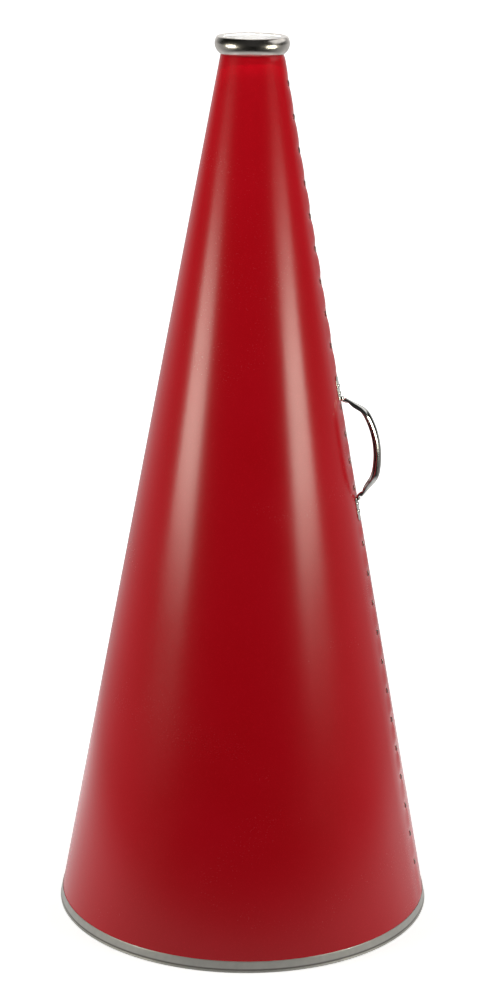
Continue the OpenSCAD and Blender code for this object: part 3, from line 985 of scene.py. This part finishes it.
def room_level(tree, vector):
    """The room's brightness in one direction, for the kind of ray that asks."""
    rays = tree.nodes.new("ShaderNodeLightPath")
    return blend_colours(
        tree, rays.outputs["Is Diffuse Ray"], facing_value(tree, vector, MIRRORED),
        facing_value(tree, vector, LIGHTING),
    )


def make_room():
    """A pale room for the camera, which reflects as dark in front and light behind."""
    world = bpy.data.worlds.new("room")
    world.use_nodes = True
    tree = world.node_tree
    tree.nodes.clear()
    coords = tree.nodes.new("ShaderNodeTexCoord")
    level = room_level(tree, coords.outputs["Generated"])
    rays = tree.nodes.new("ShaderNodeLightPath")
    seen = blend_colours(tree, rays.outputs["Is Camera Ray"], level, (1.0, 1.0, 1.0))
    light = tree.nodes.new("ShaderNodeBackground")
    tree.links.new(seen, light.inputs["Color"])
    out = tree.nodes.new("ShaderNodeOutputWorld")
    tree.links.new(light.outputs["Background"], out.inputs["Surface"])
    bpy.context.scene.world = world


def make_floor():
    """A plain pale floor, which takes the object's shadow."""
    size = 30.0
    paint_level = 0.9
    # the floor's own glow under the object and further out, and where each starts, in metres
    glow_under, glow_out, shade_r, white_r = 0.5, 0.95, 0.2, 1.6
    # how much brighter it is close to the object in reflections, out to which distances
    close_level, close_r, past_r, mirror_strength = 0.6, 0.45, 0.75, 0.9
    mesh = bpy.data.meshes.new("floor")
    corners = [(-size, -size, 0), (size, -size, 0), (size, size, 0), (-size, size, 0)]
    mesh.from_pydata(corners, [], [(0, 1, 2, 3)])
    material = bpy.data.materials.new("pale_floor")
    material.use_nodes = True
    tree = material.node_tree
    tree.nodes.clear()
    link = tree.links.new
    paint = tree.nodes.new("ShaderNodeBsdfDiffuse")
    paint.inputs["Color"].default_value = (paint_level, paint_level, paint_level, 1)
    glow = tree.nodes.new("ShaderNodeEmission")
    glow.inputs["Color"].default_value = (1, 1, 1, 1)
    away = tree.nodes.new("ShaderNodeVectorMath")
    away.operation = "LENGTH"
    place_of = tree.nodes.new("ShaderNodeTexCoord")
    link(place_of.outputs["Object"], away.inputs[0])
    glowing = ranged(tree, away.outputs["Value"], glow_under, glow_out, shade_r, white_r)
    link(glowing, glow.inputs["Strength"])
    shown = tree.nodes.new("ShaderNodeAddShader")
    link(paint.outputs["BSDF"], shown.inputs[0])
    link(glow.outputs["Emission"], shown.inputs[1])
    near = ranged(tree, away.outputs["Value"], close_level, 0.0, close_r, past_r)
    rays = tree.nodes.new("ShaderNodeLightPath")
    level = blend_colours(
        tree, rays.outputs["Is Diffuse Ray"],
        added(tree, facing_value(tree, place_of.outputs["Object"], FLOOR_MIRRORED), near),
        facing_value(tree, place_of.outputs["Object"], LIGHTING),
    )
    mirrored = tree.nodes.new("ShaderNodeEmission")
    link(level, mirrored.inputs["Color"])
    mirrored.inputs["Strength"].default_value = mirror_strength
    mix = tree.nodes.new("ShaderNodeMixShader")
    link(rays.outputs["Is Camera Ray"], mix.inputs["Fac"])
    link(mirrored.outputs["Emission"], mix.inputs[1])
    link(shown.outputs["Shader"], mix.inputs[2])
    out = tree.nodes.new("ShaderNodeOutputMaterial")
    link(mix.outputs["Shader"], out.inputs["Surface"])
    mesh.materials.append(material)
    floor = bpy.data.objects.new("floor", mesh)
    bpy.context.scene.collection.objects.link(floor)


def make_mouth_spot():
    """A narrow beam down into the mouthpiece, which shows up its white lining."""
    beam_angle, in_front, above, aim_depth = radians(4.4), 0.25, 0.76, 4
    data = bpy.data.lights.new("mouth_spot", "SPOT")
    data.spot_size, data.spot_blend = beam_angle, 0.4
    data.energy, data.shadow_soft_size = 60.0, 0.01
    light = bpy.data.objects.new("mouth_spot", data)
    target = Vector((0, 0, (TOTAL_H - aim_depth) * MM))
    light.location = target + TOWARDS_CAMERA * in_front + Vector((0, 0, above))
    light.rotation_euler = (target - light.location).to_track_quat("-Z", "Y").to_euler()
    light.visible_glossy = False
    bpy.context.scene.collection.objects.link(light)


def make_studio():
    """Two warm softboxes, two fill lights, a card, the mouth's spot, the room and floor."""
    warm, white = (1.0, 0.98, 0.84), (1, 1, 1)
    for name, azimuth in (("left_softbox", radians(-67)), ("right_softbox", radians(62))):
        make_softbox(name, azimuth, distance=1.5, height=0.56, size=(0.68, 0.36),
                     radiance=9.0, colour=warm, aim_z=0.5)
    make_softbox("top_fill", 0, distance=0.4, height=1.15, size=(0.3, 0.2),
                 radiance=6.0, colour=white, aim_z=0.7, shows=False)
    make_softbox("overhead", pi, distance=0.3, height=2.4, size=(1.6, 1.6),
                 radiance=1.2, colour=white, aim_z=0.4, shows=False)
    make_softbox("side_card", radians(100), distance=0.8, height=1.2, size=(1.0, 0.5),
                 radiance=0.9, colour=white, aim_z=0.43, lights=False)
    make_mouth_spot()
    make_room()
    make_floor()
    bpy.context.scene.view_settings.view_transform = "Standard"


def make_megaphone():
    """Every piece of the object, each with its finish."""
    make_cone()
    make_rim()
    make_ring()
    make_handle()
    clip_metal = bright_metal("clip_nickel", (0.78, 0.77, 0.73), 0.2, 0.08)
    for end, side in (("upper", 1), ("lower", -1)):
        make_clip(end, side, clip_metal)
    rivet_metal = bright_metal("rivet_nickel", (0.8, 0.79, 0.76), 0.16, 0.06)
    for node in RIVETS:
        make_rivet(node, rivet_metal)
    wire = satin_steel("stitch_tin", (0.5, 0.49, 0.46), 0.34, (1, 1, 1))[0]
    for node, depth in zip(STITCHES, PUCKERS):
        make_stitch(node, depth, wire)
    finish_washers()


make_camera()
make_studio()
make_megaphone()
